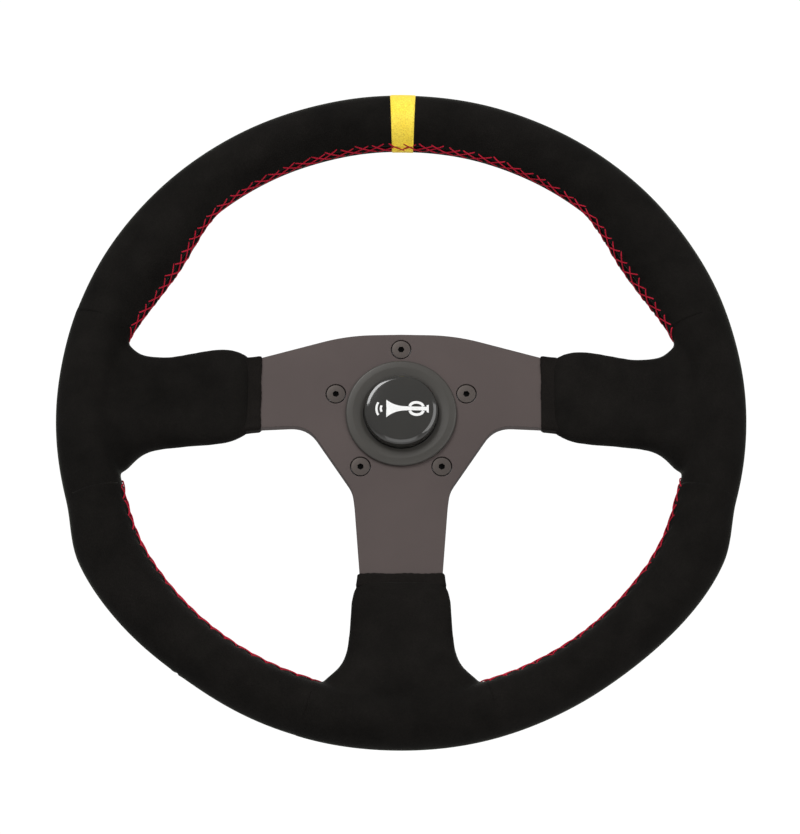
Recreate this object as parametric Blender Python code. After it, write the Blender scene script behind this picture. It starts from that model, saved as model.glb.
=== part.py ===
"""Three-spoke suede motorsport steering wheel on a ball-lock quick release.

Local frame: x to the right, y up, n towards the driver, all in millimetres.
World frame: X right, Z up, the column side at +Y, origin on the boss's column face.
"""
import math

import bmesh
import bpy

MM = 0.001

# Rim
RIM_R = 160.0            # centreline radius of the rim
TUBE_R = 14.8            # outer radius of the wrapped rim section
COVER_T = 1.2            # thickness of the suede
GAP = 0.3                # clearance between neighbouring pieces
FOAM_GAP = 1.1           # clearance between foam and suede
FOAM_SHARE = 0.85        # part of each swelling that the foam carries
THUMB_RISE = 7.5         # thumb swelling on the inner side of the rim
PALM_RISE = 4.0          # palm swelling on the outer side of the rim
LOWER_DRIFT = 1.6        # how far outward the lower half of the rim is set
LOWER_SLIM = 0.7         # how much thinner it is
THUMB_FROM, THUMB_TO = 40.0, 75.0
PALM_FROM, PALM_PEAK, PALM_TO = 106.0, 117.0, 146.0
STRIPE_W = 13.2          # width of the yellow centre band
SIDE_FROM, SIDE_TO = 72.0, 107.0   # rim angles that belong to a side grip cover
FOOT_FROM = 163.0        # rim angle where the bottom grip cover starts
SEAM_AT = 168.0          # seam position round the section, 180 is the inner equator
SEAM_W = 2.2             # open width of the seam
THREAD_W = 1.2           # width of the lacing in the seam
# Frame plate
PLATE_FRONT = -5.0       # front face of the plate against the rim's middle plane
PLATE_T = 5.0
RING_ROOM = 0.918        # clearance between the corner of the plate's ring and the suede
SCREW_PCD = 70.0
SCREW_HEAD_R = 5.0
SCREW_SHANK_R = 2.4
HEX_AF = 3.0
# Spoke sleeves
SIDE_CUFF, SIDE_GRIP = 71.3, 79.3   # distance from the wheel centre to each edge
FOOT_CUFF, FOOT_GRIP = 84.8, 90.5
CUFF_T = 0.9
PAD_T = 1.6
LEVEL_REACH = 42.0       # sleeves are centred on the plate up to here, inward from the rim
LOFT_REACH = 4.0         # where they end inside the rim
# Horn button
CAP_R = 18.7
CAP_EDGE = 1.7           # width of the rounded edge of the cap
CAP_TOP = 3.0
CAP_GAP = 0.4            # clearance of the cap in the bezel
CAP_LIP = 2.4            # flange that keeps the cap behind the bezel
CUP_GAP = 1.7            # clearance of that flange in the cup
CUP_T = 1.6
HOLE_GAP = 0.6           # clearance of the cup in the plate
BEZEL_LIP = 3.3          # how far the bezel covers the plate
HORN_TRAVEL = 2.0
# Quick release, depths measured behind the plate's back face
QR_DEPTH = 65.0
FLANGE_EDGE, FLANGE_T = 5.5, 8.0    # metal outside the screw circle, thickness
POCKET_STEP, POCKET_D = 1.0, 12.3   # horn pocket, wider than the plate's hole
NECK_WALL = 4.0
WEB_T, BORE_SKIN = 3.0, 1.2
SPLINE_LEN, TEETH = 12.0, 12
BORE_R, NOSE_GAP = 12.35, 0.35
BARREL_WALL = 4.45
BASE_STEP = 2.2          # shoulder of the boss beyond the barrel
BALL_R = 3.0
BALL_AFTER = 7.5         # from the spline's end to the balls
BALL_TRAVEL = 1.8
COLLAR_AHEAD, COLLAR_BEHIND = 14.0, 4.0   # ends of the collar from the balls
COLLAR_WALL, PULL_STEP = 8.2, 7.0
COLLAR_TRAVEL = 8.0
CONE_SLOPE = 0.1875
SPRING_ROOM = 3.8        # pocket for the collar spring round the barrel
CLIP_T, CLIP_ROOM, CLIP_END = 1.1, 0.3, 1.2

LEVEL_TO, LOFT_END = RIM_R - LEVEL_REACH, RIM_R - LOFT_REACH
BEZEL_IN_R = CAP_R + CAP_GAP
LIP_R = CAP_R + CAP_LIP
CUP_R = LIP_R + CUP_GAP + CUP_T
CENTRE_HOLE_R = CUP_R + HOLE_GAP
BEZEL_R = CENTRE_HOLE_R + BEZEL_LIP
POCKET_R = CENTRE_HOLE_R + POCKET_STEP
FLANGE_R = SCREW_PCD / 2 + FLANGE_EDGE
WEB_D = POCKET_D + WEB_T
BORE_D = WEB_D + BORE_SKIN
SPLINE_D = BORE_D + SPLINE_LEN
BALL_D = SPLINE_D + BALL_AFTER
NOSE_R = BORE_R - NOSE_GAP
BARREL_R = BORE_R + BARREL_WALL
BASE_R = BARREL_R + BASE_STEP
BALL_FREE_R = NOSE_R + BALL_R + GAP
BALL_HOLE_R = BALL_R + GAP
COLLAR_FROM, COLLAR_TO = BALL_D - COLLAR_AHEAD, BALL_D + COLLAR_BEHIND
COLLAR_R = BARREL_R + COLLAR_WALL
PULL_R = COLLAR_R + PULL_STEP
CLIP_D = COLLAR_TO + COLLAR_TRAVEL + 0.5
BARREL_END = CLIP_D + CLIP_T + 0.2 + CLIP_END
BACK = PLATE_FRONT - PLATE_T        # n of the plate's back face
# half width of the plate's ring inside the rim
RING_HALF_W = math.sqrt((TUBE_R - LOWER_SLIM - COVER_T - RING_ROOM) ** 2 - BACK ** 2) - LOWER_DRIFT
MID_Y = -(QR_DEPTH - BACK)          # world y of n = 0, in millimetres

COLOURS = {
    "suede": (0.014, 0.013, 0.011), "yellow": (0.85, 0.55, 0.03), "thread": (0.42, 0.015, 0.03),
    "foam": (0.03, 0.03, 0.03), "plate": (0.10, 0.085, 0.08), "steel": (0.55, 0.55, 0.56),
    "black_steel": (0.05, 0.05, 0.05), "bezel": (0.09, 0.09, 0.082), "cap": (0.03, 0.03, 0.028),
    "plastic": (0.02, 0.02, 0.02), "brass": (0.7, 0.5, 0.2), "alloy": (0.35, 0.35, 0.37),
    "collar": (0.35, 0.02, 0.02),
}

for old in list(bpy.data.objects):
    bpy.data.objects.remove(old)


def material(name, slot):
    mat = bpy.data.materials.new(name + "_mat")
    mat.use_nodes = True
    shader = mat.node_tree.nodes["Principled BSDF"]
    shader.inputs["Base Color"].default_value = (*COLOURS[slot], 1)
    metal = slot in ("plate", "steel", "black_steel", "bezel", "brass", "alloy", "collar")
    shader.inputs["Metallic"].default_value = 1.0 if metal else 0.0
    shader.inputs["Roughness"].default_value = 0.4 if metal else 0.8
    return mat


def place(x, y, n):
    """World position of a local point."""
    return (x * MM, (MID_Y - n) * MM, y * MM)


def make(name, points, faces, slot, origin=None):
    """An object from local points; origin is its local origin point."""
    base = place(*origin) if origin else (0, 0, 0)
    mesh = bpy.data.meshes.new(name)
    shifted = [[a - b for a, b in zip(place(*p), base)] for p in points]
    mesh.from_pydata(shifted, [], faces)
    bm = bmesh.new()
    bm.from_mesh(mesh)
    bmesh.ops.remove_doubles(bm, verts=bm.verts, dist=1e-6)
    bmesh.ops.recalc_face_normals(bm, faces=bm.faces)
    bm.to_mesh(mesh)
    bm.free()
    obj = bpy.data.objects.new(name, mesh)
    obj.location = base
    bpy.context.scene.collection.objects.link(obj)
    if slot:
        mesh.materials.append(material(name, slot))
    return obj


def helper(obj):
    obj.hide_render = True
    obj.display_type = "WIRE"
    return obj


def combine(obj, other, operation="DIFFERENCE"):
    mod = obj.modifiers.new(operation.lower(), "BOOLEAN")
    mod.operation = operation
    mod.solver = "EXACT"
    mod.object = helper(other)
    return obj


def strip_faces(rows, size, closed):
    """Faces between loops of equal size, with flat ends unless the run closes on itself."""
    faces = []
    for i in range(rows if closed else rows - 1):
        a, b = i * size, ((i + 1) % rows) * size
        for j in range(size):
            k = (j + 1) % size
            faces.append((a + j, a + k, b + k, b + j))
    if not closed:
        faces.append(tuple(range(size - 1, -1, -1)))
        faces.append(tuple(range((rows - 1) * size, rows * size)))
    return faces


def loft(name, loops, slot=None, closed=False, origin=None):
    points = [p for loop in loops for p in loop]
    return make(name, points, strip_faces(len(loops), len(loops[0]), closed), slot, origin)


def lathe(name, profile, slot=None, steps=40, centre=(0, 0), origin=None):
    """Solid of revolution about n from (radius, n) pairs."""
    loops = []
    for i in range(steps):
        a = 2 * math.pi * i / steps
        c, s = math.cos(a), math.sin(a)
        loops.append([(centre[0] + r * c, centre[1] + r * s, n) for r, n in profile])
    return loft(name, loops, slot, closed=True, origin=origin)


def prism(name, outline, low, high, slot=None):
    return loft(name, [[(x, y, low) for x, y in outline], [(x, y, high) for x, y in outline]], slot)


def stations(start, end, step):
    count = max(1, round(abs(end - start) / step))
    return [start + (end - start) * i / count for i in range(count + 1)]


def lower(phi):
    """0 on the upper rim, 1 on the lower, with a smooth change beside the spokes."""
    p = abs(phi) if abs(phi) <= 180 else 360 - abs(phi)
    run = min(1.0, max(0.0, (p - PALM_FROM + 6) / 24))
    return 0.5 * (1 - math.cos(math.pi * run))


def rise(phi):
    """(thumb, palm) swelling of the rim at an angle from the top, the same on both sides."""
    p = abs(phi) if abs(phi) <= 180 else 360 - abs(phi)
    thumb = palm = 0.0
    if THUMB_FROM < p < THUMB_TO:
        thumb = THUMB_RISE * math.sin(math.pi * (p - THUMB_FROM) / (THUMB_TO - THUMB_FROM)) ** 1.5
    if PALM_FROM < p <= PALM_PEAK:
        palm = PALM_RISE * 0.5 * (1 - math.cos(math.pi * (p - PALM_FROM) / (PALM_PEAK - PALM_FROM)))
    elif PALM_PEAK < p < PALM_TO:
        palm = PALM_RISE * 0.5 * (1 + math.cos(math.pi * (p - PALM_PEAK) / (PALM_TO - PALM_PEAK)))
    return thumb, palm


def section_radius(a, phi, share=1.0):
    thumb, palm = rise(phi)
    c = math.cos(math.radians(a))
    return TUBE_R - LOWER_SLIM * lower(phi) + share * (palm * max(0.0, c) ** 1.2 + thumb * max(0.0, -c) ** 1.2)


def on_rim(phi, out, n):
    """Local point at a rim angle, a distance outward from the centreline and a height n."""
    a = math.radians(phi)
    r = RIM_R + LOWER_DRIFT * lower(phi) + out
    return (r * math.sin(a), r * math.cos(a), n)


def tube_point(phi, a, inset):
    r = section_radius(a, phi) - inset
    return on_rim(phi, r * math.cos(math.radians(a)), r * math.sin(math.radians(a)))


def cover_loop(phi, steps=15):
    """C-shaped section of the suede, open at the seam."""
    half = math.degrees(SEAM_W / 2 / TUBE_R)
    angles = stations(SEAM_AT - 360 + half, SEAM_AT - half, (360 - 2 * half) / steps)
    outer = [tube_point(phi, a, 0) for a in angles]
    inner = [tube_point(phi, a, COVER_T) for a in reversed(angles)]
    return outer + inner


def rim_cover(name, start, end, slot):
    return loft(name, [cover_loop(phi) for phi in stations(start, end, 5.2)], slot)


def tube_solid(name, start, end, inset, steps=16):
    angles = [360 * i / steps for i in range(steps)]
    return loft(name, [[tube_point(p, a, inset) for a in angles] for p in stations(start, end, 5)])


def level_angle(phi, n, inset):
    """Angles, outer side and inner side, where the foam's surface is n away from the middle plane."""
    found = []
    for outer in (True, False):
        low, high = 0.0, 90.0
        for _ in range(30):
            mid = (low + high) / 2
            r = section_radius(mid if outer else 180 - mid, phi, FOAM_SHARE) - inset
            low, high = (mid, high) if r * math.sin(math.radians(mid)) < abs(n) else (low, mid)
        found.append(low if outer else 180 - low)
    return found


def foam_ring(name, front, slot="foam"):
    """Half of the moulded rim core, front or rear, slotted for the frame ring and its arms."""
    side = 1 if front else -1
    foot = PLATE_FRONT - PLATE_T / 2 + GAP
    seat, lip = PLATE_FRONT + GAP, RING_HALF_W + FOAM_GAP
    inset = COVER_T + FOAM_GAP

    def point(phi, a):
        r = section_radius(abs(a), phi, FOAM_SHARE) - inset
        return on_rim(phi, r * math.cos(math.radians(a)), side * r * math.sin(math.radians(a)))

    loops = []
    for i in range(48):
        phi = -180 + 7.5 * i
        if front:
            start = -level_angle(phi, foot, inset)[0]
            end = 360 - level_angle(phi, seat, inset)[1]
        else:
            start, end = level_angle(phi, BACK - GAP, inset)
        loop = [point(phi, start + (end - start) * k / 9) for k in range(10)]
        if front:
            loop += [on_rim(phi, lip, seat), on_rim(phi, lip, foot)]
        loops.append(loop)
    return loft(name, loops, slot, closed=True)


def blended(table, at):
    """Values at a station, linear between the rows of a table that starts each row with it."""
    if at <= table[0][0]:
        return table[0][1:]
    for low, high in zip(table, table[1:]):
        if at <= high[0]:
            t = (at - low[0]) / (high[0] - low[0])
            return [a + (b - a) * t for a, b in zip(low[1:], high[1:])]
    return table[-1][1:]


# Sleeve sections: distance from the wheel centre, lower edge, upper edge, height above the plate's faces.
# The first rows follow the cuff, the others the rim.
SIDE_SLEEVE = (
    (SIDE_GRIP, -10.4, 31.0, 2.1), (SIDE_GRIP + 3.7, -12.8, 33.0, 3.4), (SIDE_GRIP + 8.7, -15.0, 35.2, 4.5),
    (RIM_R - 63, -15.9, 34.6, 4.7), (RIM_R - 55, -16.5, 33.0, 4.9), (RIM_R - 42, -17.4, 30.3, 5.7),
    (RIM_R - 34, -18.8, 30.3, 6.7), (RIM_R - 29, -21.0, 32.0, 7.7), (RIM_R - 25, -25.0, 37.5, 8.1),
    (RIM_R - 21, -31.0, 43.0, 8.3), (LOFT_END, -37.0, 43.0, 9.0),
)
FOOT_SLEEVE = (
    (FOOT_GRIP, -21.9, 21.9, 2.1), (FOOT_GRIP + 2.5, -23.4, 23.4, 3.4), (FOOT_GRIP + 6.5, -24.6, 24.6, 4.5),
    (RIM_R - 43, -26.0, 26.0, 5.1), (RIM_R - 35, -27.0, 27.0, 6.3), (RIM_R - 29, -28.6, 28.6, 7.7),
    (RIM_R - 23, -32.5, 32.5, 8.1), (RIM_R - 18, -38.0, 38.0, 8.5), (LOFT_END, -38.0, 38.0, 9.0),
)


def sleeve_loop(at, table, turn, inset, steps=18):
    """Rounded section of a spoke sleeve; turn maps (distance, across) to local x, y."""
    low, high, above = blended(table, at)
    half = PLATE_T / 2 + above
    run = min(1.0, max(0.0, (at - LEVEL_TO) / (LOFT_END - LEVEL_TO)))
    level = (PLATE_FRONT - PLATE_T / 2) * (1 - 0.87 * run)
    loop = []
    for i in range(steps):
        a = 2 * math.pi * i / steps
        c, s = math.cos(a), math.sin(a)
        across = (high + low) / 2 + ((high - low) / 2 - inset) * math.copysign(abs(c) ** 0.6, c)
        n = level + (half - inset) * math.copysign(abs(s) ** 0.7, s)
        loop.append((*turn(at, across), n))
    return loop


def sleeve_solid(name, table, turn, inset, early=0.0):
    first = table[0][0] - early
    places = [first] + [row[0] for row in table[1:]]
    return loft(name, [sleeve_loop(at, table, turn, inset) for at in places])


def to_right(at, across):
    return (at, across)


def to_left(at, across):
    return (-at, across)


def to_foot(at, across):
    return (across, -at)


def grip_cover(name, table, turn, start, end):
    """Suede sleeve with the stretch of rim cover that it runs into."""
    cover = tube_solid(name, start + GAP_DEG, end - GAP_DEG, 0)
    cover.data.materials.append(material(name, "suede"))
    combine(cover, sleeve_solid(name + "_outer", table, turn, 0), "UNION")
    combine(cover, tube_solid(name + "_bore", start - 2, end + 2, COVER_T))
    combine(cover, sleeve_solid(name + "_inside", table, turn, COVER_T, early=3))
    return cover


def cuff(name, start, end, edges, turn):
    """Flat band closing a sleeve on the plate; edges gives (low, high) of the plate at a station."""
    loops_out, loops_in = [], []
    mid = PLATE_FRONT - PLATE_T / 2
    for at in stations(start, end, 6):
        for loops, grow, reach in ((loops_out, GAP + CUFF_T, 0), (loops_in, GAP, 2)):
            shift = -reach if at == start else (reach if at == end else 0)
            low, high = edges(at + shift)
            y0, y1, h = low - grow, high + grow, PLATE_T / 2 + grow
            cut = min(h, 1.2) if loops is loops_out else 0.01
            ring = ((y0 + cut, -h), (y1 - cut, -h), (y1, -h + cut), (y1, h - cut),
                    (y1 - cut, h), (y0 + cut, h), (y0, h - cut), (y0, -h + cut))
            loops.append([(*turn(at + shift, y), mid + n) for y, n in ring])
    band = loft(name, loops_out, "suede")
    return combine(band, loft(name + "_bore", loops_in))


def pad(name, table, turn, front):
    """Thin foam pad between plate and suede on one face of a spoke."""
    ends = (table[0][0] + 7, RIM_R - 34)
    outline = []
    for at in stations(ends[0], ends[1], 15):
        outline.append((at, min(blended(table, at)[1] - 9, 24)))
    for at in reversed(stations(ends[0], ends[1], 15)):
        outline.append((at, max(blended(table, at)[0] + 9, -24)))
    low = PLATE_FRONT + GAP if front else BACK - GAP - PAD_T
    pts = [turn(at, across) for at, across in outline]
    return prism(name, pts, low, low + PAD_T, "foam")


def side_edges(at):
    return -7.5 + 0.03 * (at - 71), 30.6 - 0.26 * (at - 71)


def foot_edges(at):
    half = 22.2 - 0.0753 * (at - 65.6)
    return -half, half


# ------------------------------------------------------------------ frame plate
def round_screws(angle, beyond):
    """Plate edge at an angle from the top, so far outside the screw circle."""
    a, r = math.radians(angle), SCREW_PCD / 2 + beyond
    return (r * math.sin(a), r * math.cos(a))


right = [round_screws(0.00, 8.10), round_screws(19.27, 10.45), round_screws(34.88, 15.71), round_screws(47.61, 22.55),
         (60, 33.8), (71, 30.6), (83, 27.5), (100, 19), (RIM_R - 4, 19), (RIM_R - 4, -5), (100, -5.5),
         (83, -7.1), (71, -7.5), (52.5, -6.6), (47.8, -8.2), round_screws(104.96, 9.92),
         round_screws(124.69, 8.05), round_screws(147.32, 12.05), (24.3, -43.0), (23.7, -47),
         (foot_edges(86)[1] - 0.3, -86), (14.5, -100), (14.5, -RIM_R + 4)]
spider = right + [(-x, y) for x, y in reversed(right[1:])]
frame = prism("spoke_frame", spider, BACK, PLATE_FRONT, "plate")
ring = [(RIM_R - RING_HALF_W, BACK), (RIM_R + RING_HALF_W, BACK),
        (RIM_R + RING_HALF_W, PLATE_FRONT), (RIM_R - RING_HALF_W, PLATE_FRONT)]
combine(frame, lathe("ring_blank", ring, steps=72), "UNION")
combine(frame, lathe("centre_cut", [(0, BACK - 3), (CENTRE_HOLE_R, BACK - 3),
                                    (CENTRE_HOLE_R, PLATE_FRONT + 3), (0, PLATE_FRONT + 3)], steps=48))
screw_spots = [(SCREW_PCD / 2 * math.sin(math.radians(72 * i)),
                SCREW_PCD / 2 * math.cos(math.radians(72 * i))) for i in range(5)]
head_drop = SCREW_HEAD_R - SCREW_SHANK_R
for i, spot in enumerate(screw_spots):
    wide, top = SCREW_HEAD_R + GAP, PLATE_FRONT
    slim = SCREW_SHANK_R + GAP
    cut = [(0, BACK - 2), (slim, BACK - 2), (slim, top - head_drop), (wide, top), (wide, top + 2), (0, top + 2)]
    combine(frame, lathe(f"screw_cut_{i + 1}", cut, steps=20, centre=spot))

# ------------------------------------------------------------------ rim
GAP_DEG = math.degrees(GAP / 2 / RIM_R)
STRIPE_DEG = math.degrees(STRIPE_W / 2 / (RIM_R + TUBE_R))
foam_ring("foam_front", True)
foam_ring("foam_rear", False)
rim_cover("centre_stripe", -STRIPE_DEG, STRIPE_DEG, "yellow")
for side, word in ((1, "right"), (-1, "left")):
    ends = sorted((side * (STRIPE_DEG + 2 * GAP_DEG), side * (SIDE_FROM - GAP_DEG)))
    rim_cover(f"cover_top_{word}", *ends, "suede")
    ends = sorted((side * (SIDE_TO + GAP_DEG), side * (FOOT_FROM - GAP_DEG)))
    rim_cover(f"cover_lower_{word}", *ends, "suede")


def lacing(name, start, end):
    """Thread band lying in the seam slot."""
    half = math.degrees(THREAD_W / 2 / TUBE_R)
    loops = [[tube_point(phi, SEAM_AT - half, 1.0), tube_point(phi, SEAM_AT + half, 1.0),
              tube_point(phi, SEAM_AT + half, -0.3), tube_point(phi, SEAM_AT - half, -0.3)]
             for phi in stations(start, end, 5)]
    return loft(name, loops, "thread")


lacing("lacing_top", -SIDE_FROM + 1, SIDE_FROM - 1)
lacing("lacing_right", SIDE_TO + 1, FOOT_FROM - 2)
lacing("lacing_left", -FOOT_FROM + 2, -SIDE_TO - 1)

# ------------------------------------------------------------------ spoke sleeves
grip_cover("grip_cover_right", SIDE_SLEEVE, to_right, SIDE_FROM, SIDE_TO)
grip_cover("grip_cover_left", SIDE_SLEEVE, to_left, -SIDE_TO, -SIDE_FROM)
grip_cover("grip_cover_bottom", FOOT_SLEEVE, to_foot, FOOT_FROM, 360 - FOOT_FROM)
for word, table, turn, edges, first, last in (
        ("right", SIDE_SLEEVE, to_right, side_edges, SIDE_CUFF, SIDE_GRIP - GAP),
        ("left", SIDE_SLEEVE, to_left, side_edges, SIDE_CUFF, SIDE_GRIP - GAP),
        ("bottom", FOOT_SLEEVE, to_foot, foot_edges, FOOT_CUFF, FOOT_GRIP - GAP)):
    cuff(f"cuff_{word}", first, last, edges, turn)
    pad(f"pad_front_{word}", table, turn, True)
    pad(f"pad_rear_{word}", table, turn, False)

# ------------------------------------------------------------------ plate screws
tip = BACK - FLANGE_T - 1.0
head = PLATE_FRONT - 0.2
for i, spot in enumerate(screw_spots):
    body = [(0, tip), (SCREW_SHANK_R, tip), (SCREW_SHANK_R, head - head_drop),
            (SCREW_HEAD_R, head), (0, head)]
    screw = lathe(f"plate_screw_{i + 1}", body, "black_steel", steps=20, centre=spot)
    corner = HEX_AF / math.sqrt(3)
    hexagon = [(spot[0] + corner * math.cos(math.radians(60 * k)),
                spot[1] + corner * math.sin(math.radians(60 * k))) for k in range(6)]
    combine(screw, prism(f"socket_{i + 1}", hexagon, head - 2.2, head + 1))

# ------------------------------------------------------------------ horn button
seat = PLATE_FRONT + GAP
lathe("horn_bezel", [(BEZEL_IN_R, seat), (BEZEL_R, seat), (BEZEL_R, seat + 0.9), (BEZEL_R - 0.9, seat + 1.5),
                     (24.5, seat + 1.8), (21.0, seat + 1.3), (BEZEL_IN_R, seat + 0.7)],
      "bezel", steps=56)
cup_low = BACK - POCKET_D + GAP
lathe("horn_base", [(0, cup_low), (CUP_R, cup_low), (CUP_R, PLATE_FRONT - 0.4), (CUP_R - CUP_T, PLATE_FRONT - 0.4),
                    (CUP_R - CUP_T, cup_low + 2), (0, cup_low + 2)], "plastic", steps=40)
cap_low = BACK - HORN_TRAVEL
lip_top = PLATE_FRONT - 3.4
lathe("horn_cap", [(0, cap_low), (CAP_R, cap_low), (CAP_R, lip_top), (LIP_R, lip_top),
                   (LIP_R, PLATE_FRONT - 0.2), (CAP_R, PLATE_FRONT - 0.2), (CAP_R, 0.2), (CAP_R - 0.4, 1.2),
                   (CAP_R - CAP_EDGE, 1.9), (12, CAP_TOP - 0.55), (6, CAP_TOP - 0.12), (0, CAP_TOP)],
      "cap", steps=48, origin=(0, 0, cap_low))
lathe("horn_contact", [(0, cap_low - 1.3), (10, cap_low - 1.3), (10, cap_low - GAP), (0, cap_low - GAP)],
      "brass", steps=24, origin=(0, 0, cap_low - 1.3))
post_low = cup_low + 2 + GAP
post_top = cap_low - 1.3 - HORN_TRAVEL - GAP
for i, x in enumerate((-6, 6)):
    lathe(f"horn_terminal_{i + 1}", [(0, post_low), (2.2, post_low), (2.2, post_top), (0, post_top)],
          "brass", steps=14, centre=(x, 0))


def coil(name, radius, wire, low, high, turns, slot, origin=None, steps=14):
    """Round wire wound along n."""
    loops = []
    for i in range(turns * steps + 1):
        a = 2 * math.pi * i / steps
        n = low + wire + (high - low - 2 * wire) * i / (turns * steps)
        ring = []
        for k in range(5):
            b = 2 * math.pi * k / 5
            r = radius + wire * math.cos(b)
            ring.append((r * math.cos(a), r * math.sin(a), n + wire * math.sin(b)))
        loops.append(ring)
    return loft(name, loops, slot, origin=origin)


coil("horn_spring", 14.0, 0.6, cup_low + 2 + HORN_TRAVEL + GAP, cap_low - GAP, 3, "steel", (0, 0, cap_low))


# ------------------------------------------------------------------ quick release
def depth(d):
    return BACK - d


def star(major, minor):
    """Outline of a straight-sided spline."""
    points = []
    for i in range(TEETH):
        for turn, r in ((-0.32, minor), (-0.2, major), (0.2, major), (0.32, minor)):
            a = 2 * math.pi * (i + turn) / TEETH
            points.append((r * math.cos(a), r * math.sin(a)))
    return points


neck_r = POCKET_R + NECK_WALL
clip_far = CLIP_D + CLIP_T
hub = lathe("hub_body", [
    (0, depth(POCKET_D)), (POCKET_R, depth(POCKET_D)), (POCKET_R, depth(GAP)), (FLANGE_R, depth(GAP)),
    (FLANGE_R, depth(FLANGE_T)), (neck_r, depth(FLANGE_T)), (neck_r, depth(WEB_D)),
    (BARREL_R, depth(WEB_D)), (BARREL_R, depth(CLIP_D - CLIP_ROOM)), (BARREL_R - 0.9, depth(CLIP_D - CLIP_ROOM)),
    (BARREL_R - 0.9, depth(clip_far + 0.2)), (BARREL_R, depth(clip_far + 0.2)), (BARREL_R, depth(BARREL_END)),
    (BORE_R, depth(BARREL_END)), (BORE_R, depth(SPLINE_D)), (0, depth(SPLINE_D))], "alloy", steps=48)
combine(hub, prism("spline_cut", star(BORE_R - 0.1, NOSE_R - 1.2), depth(SPLINE_D + 1), depth(BORE_D)))
for i, spot in enumerate(screw_spots):
    hole = [(0, depth(-1)), (SCREW_SHANK_R + GAP, depth(-1)), (SCREW_SHANK_R + GAP, depth(FLANGE_T + 2)),
            (0, depth(FLANGE_T + 2))]
    combine(hub, lathe(f"flange_cut_{i + 1}", hole, steps=17, centre=spot))


def radial_tube(name, angle, radius, near, far, at, steps=14):
    c, s = math.cos(angle), math.sin(angle)
    loops = []
    for r in (near, far):
        ring = []
        for k in range(steps):
            b = 2 * math.pi * k / steps
            side, n = radius * math.cos(b), radius * math.sin(b)
            ring.append((r * c - side * s, r * s + side * c, at + n))
        loops.append(ring)
    return loft(name, loops)


def ball(name, centre, radius, slot, steps=12):
    loops = []
    for i in range(steps):
        a = 2 * math.pi * i / steps
        loops.append([(centre[0] + radius * math.sin(math.pi * k / 6) * math.cos(a),
                       centre[1] + radius * math.sin(math.pi * k / 6) * math.sin(a),
                       centre[2] + radius * math.cos(math.pi * k / 6)) for k in range(7)])
    points = [p for loop in loops for p in loop]
    faces = []
    for i in range(steps):
        for k in range(6):
            a, b = i * 7 + k, ((i + 1) % steps) * 7 + k
            faces.append((a, a + 1, b + 1, b))
    return make(name, points, faces, slot, origin=centre)


for i in range(6):
    angle = math.radians(60 * i + 30)
    combine(hub, radial_tube(f"ball_hole_{i + 1}", angle, BALL_HOLE_R, NOSE_R - 4, BARREL_R + 5, depth(BALL_D), 15))
    centre = (BALL_FREE_R * math.cos(angle), BALL_FREE_R * math.sin(angle), depth(BALL_D))
    ball(f"lock_ball_{i + 1}", centre, BALL_R, "steel")


def cone_r(d):
    """Inner radius of the collar's ramp with the collar held back."""
    return BALL_FREE_R + BALL_R + GAP + 0.05 + (d - BALL_D) * CONE_SLOPE


slim_r = cone_r(BALL_D - COLLAR_TRAVEL)
room_r = BARREL_R + SPRING_ROOM
lathe("release_collar", [
    (slim_r, depth(BALL_D - COLLAR_TRAVEL)), (slim_r, depth(COLLAR_FROM + 4)), (room_r, depth(COLLAR_FROM + 4)),
    (room_r, depth(COLLAR_FROM)), (PULL_R - 1, depth(COLLAR_FROM)), (PULL_R, depth(COLLAR_FROM + 1)),
    (PULL_R, depth(COLLAR_FROM + 4)), (PULL_R - 1, depth(COLLAR_FROM + 5)), (COLLAR_R, depth(COLLAR_FROM + 6)),
    (COLLAR_R, depth(COLLAR_TO - 1)), (COLLAR_R - 1, depth(COLLAR_TO)),
    (cone_r(COLLAR_TO), depth(COLLAR_TO))], "collar", steps=48, origin=(0, 0, depth(COLLAR_FROM)))
coil("collar_spring", BARREL_R + 2.1, 0.7, depth(COLLAR_FROM + 3.6), depth(WEB_D + GAP), 2, "steel", steps=16)
clip = []
for r, n in ((BARREL_R - 0.5, depth(clip_far)), (BARREL_R + 1.9, depth(clip_far)),
             (BARREL_R + 1.9, depth(CLIP_D)), (BARREL_R - 0.5, depth(CLIP_D))):
    clip.append((r, n))
clip_loops = []
for turn in stations(12, 348, 14):
    a = math.radians(turn)
    clip_loops.append([(r * math.cos(a), r * math.sin(a), n) for r, n in clip])
loft("circlip", clip_loops, "black_steel")

groove = BALL_FREE_R - BALL_TRAVEL - BALL_R - GAP
pilot_r = NOSE_R - 3.5
boss = lathe("column_boss", [
    (0, depth(QR_DEPTH)), (BASE_R, depth(QR_DEPTH)), (BASE_R, depth(BARREL_END + 1.6)),
    (BASE_R - 1, depth(BARREL_END + 0.6)), (NOSE_R, depth(BARREL_END + 0.6)), (NOSE_R, depth(BALL_D + 3.2)),
    (groove, depth(BALL_D + 1.6)), (groove, depth(BALL_D - 1.6)), (NOSE_R, depth(BALL_D - 3.2)),
    (NOSE_R, depth(SPLINE_D + 0.8)), (pilot_r, depth(SPLINE_D + 0.8)), (pilot_r, depth(BORE_D + 1.2)),
    (0, depth(BORE_D + 1.2))], "black_steel", steps=48)
combine(boss, prism("nose_spline", star(BORE_R - 0.5, NOSE_R - 1.6), depth(SPLINE_D + 1.6), depth(BORE_D + 0.6)), "UNION")
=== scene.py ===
import math

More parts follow.
